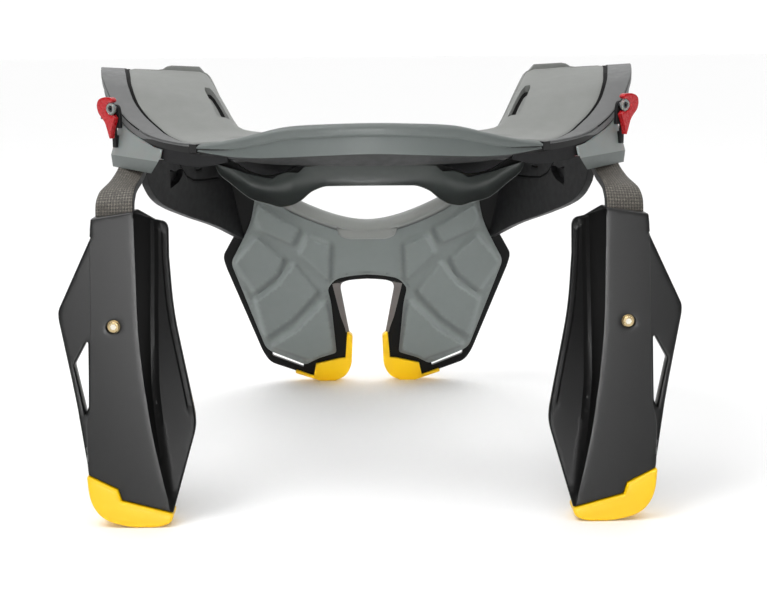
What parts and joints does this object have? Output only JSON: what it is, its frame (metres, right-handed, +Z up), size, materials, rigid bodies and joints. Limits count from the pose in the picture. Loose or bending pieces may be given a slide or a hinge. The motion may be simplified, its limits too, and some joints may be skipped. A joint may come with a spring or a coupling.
{
  "type": "motorcycle neck brace",
  "caption": "Padded two-part collar with a side hinge and red side levers, wings that lie on the upper back, and a padded chest plate, standing on yellow rubber tips.",
  "frame": {"origin": "on the floor under the middle of the bounding box, between the four yellow tips", "axes": "+X to the wearer's right, +Y to the wearer's front, +Z up"},
  "size_m": [0.2962, 0.279, 0.2127],
  "materials": {
    "collar_foam": "matte closed-cell foam",
    "rim_plastic": "satin moulded",
    "lip_plastic": "satin moulded",
    "black_plastic": "fine moulded grain",
    "clamp_plastic": "frosted moulded",
    "strut_composite": "woven fibre under clear resin",
    "screw_metal": "turned",
    "pin_steel": "turned",
    "latch_plastic": "glossy moulded",
    "tip_rubber": "smooth moulded",
    "chest_foam": "matte moulded foam"
  },
  "bodies": {
    "rear": {"rear_pad": "collar_foam", "rear_frame": "black_plastic", "side_rim_right": "rim_plastic", "side_rim_left": "rim_plastic", "rear_lip": "lip_plastic", "rear_skirt": "lip_plastic", "strut_bracket_right": "clamp_plastic", "strut_bracket_left": "clamp_plastic", "strut_right": "strut_composite", "strut_left": "strut_composite", "wing_right": "black_plastic", "wing_left": "black_plastic", "wing_screw_right": "screw_metal", "wing_screw_left": "screw_metal", "wing_bumper_right": "tip_rubber", "wing_bumper_left": "tip_rubber", "latch_pin_right": "pin_steel", "latch_pin_left": "pin_steel", "hinge_pin": "pin_steel", "catch_pin": "pin_steel"},
    "front": {"front_pad": "collar_foam", "front_rim": "rim_plastic", "front_frame": "black_plastic", "front_arm_right": "black_plastic", "front_arm_left": "black_plastic", "chest_plate": "black_plastic", "chest_pad": "chest_foam", "chest_bumper_right": "tip_rubber", "chest_bumper_left": "tip_rubber"},
    "latch_right": {"latch_lever_right": "latch_plastic"},
    "latch_left": {"latch_lever_left": "latch_plastic"}
  },
  "joints": [
    {"name": "front_open", "type": "hinge", "parent": "rear", "child": "front", "pos_m": [0.1426, -0.00821, 0.1894], "axis": [0, 0, -1], "range_deg": [0, 60]},
    {"name": "latch_right_open", "type": "hinge", "parent": "rear", "child": "latch_right", "pos_m": [0.1255, -0.08321, 0.1932], "axis": [0.5736, -0.8192, 0], "range_deg": [0, 60]},
    {"name": "latch_left_open", "type": "hinge", "parent": "rear", "child": "latch_left", "pos_m": [-0.1255, -0.08321, 0.1932], "axis": [0.5736, 0.8192, 0], "range_deg": [0, 60]}
  ]
}
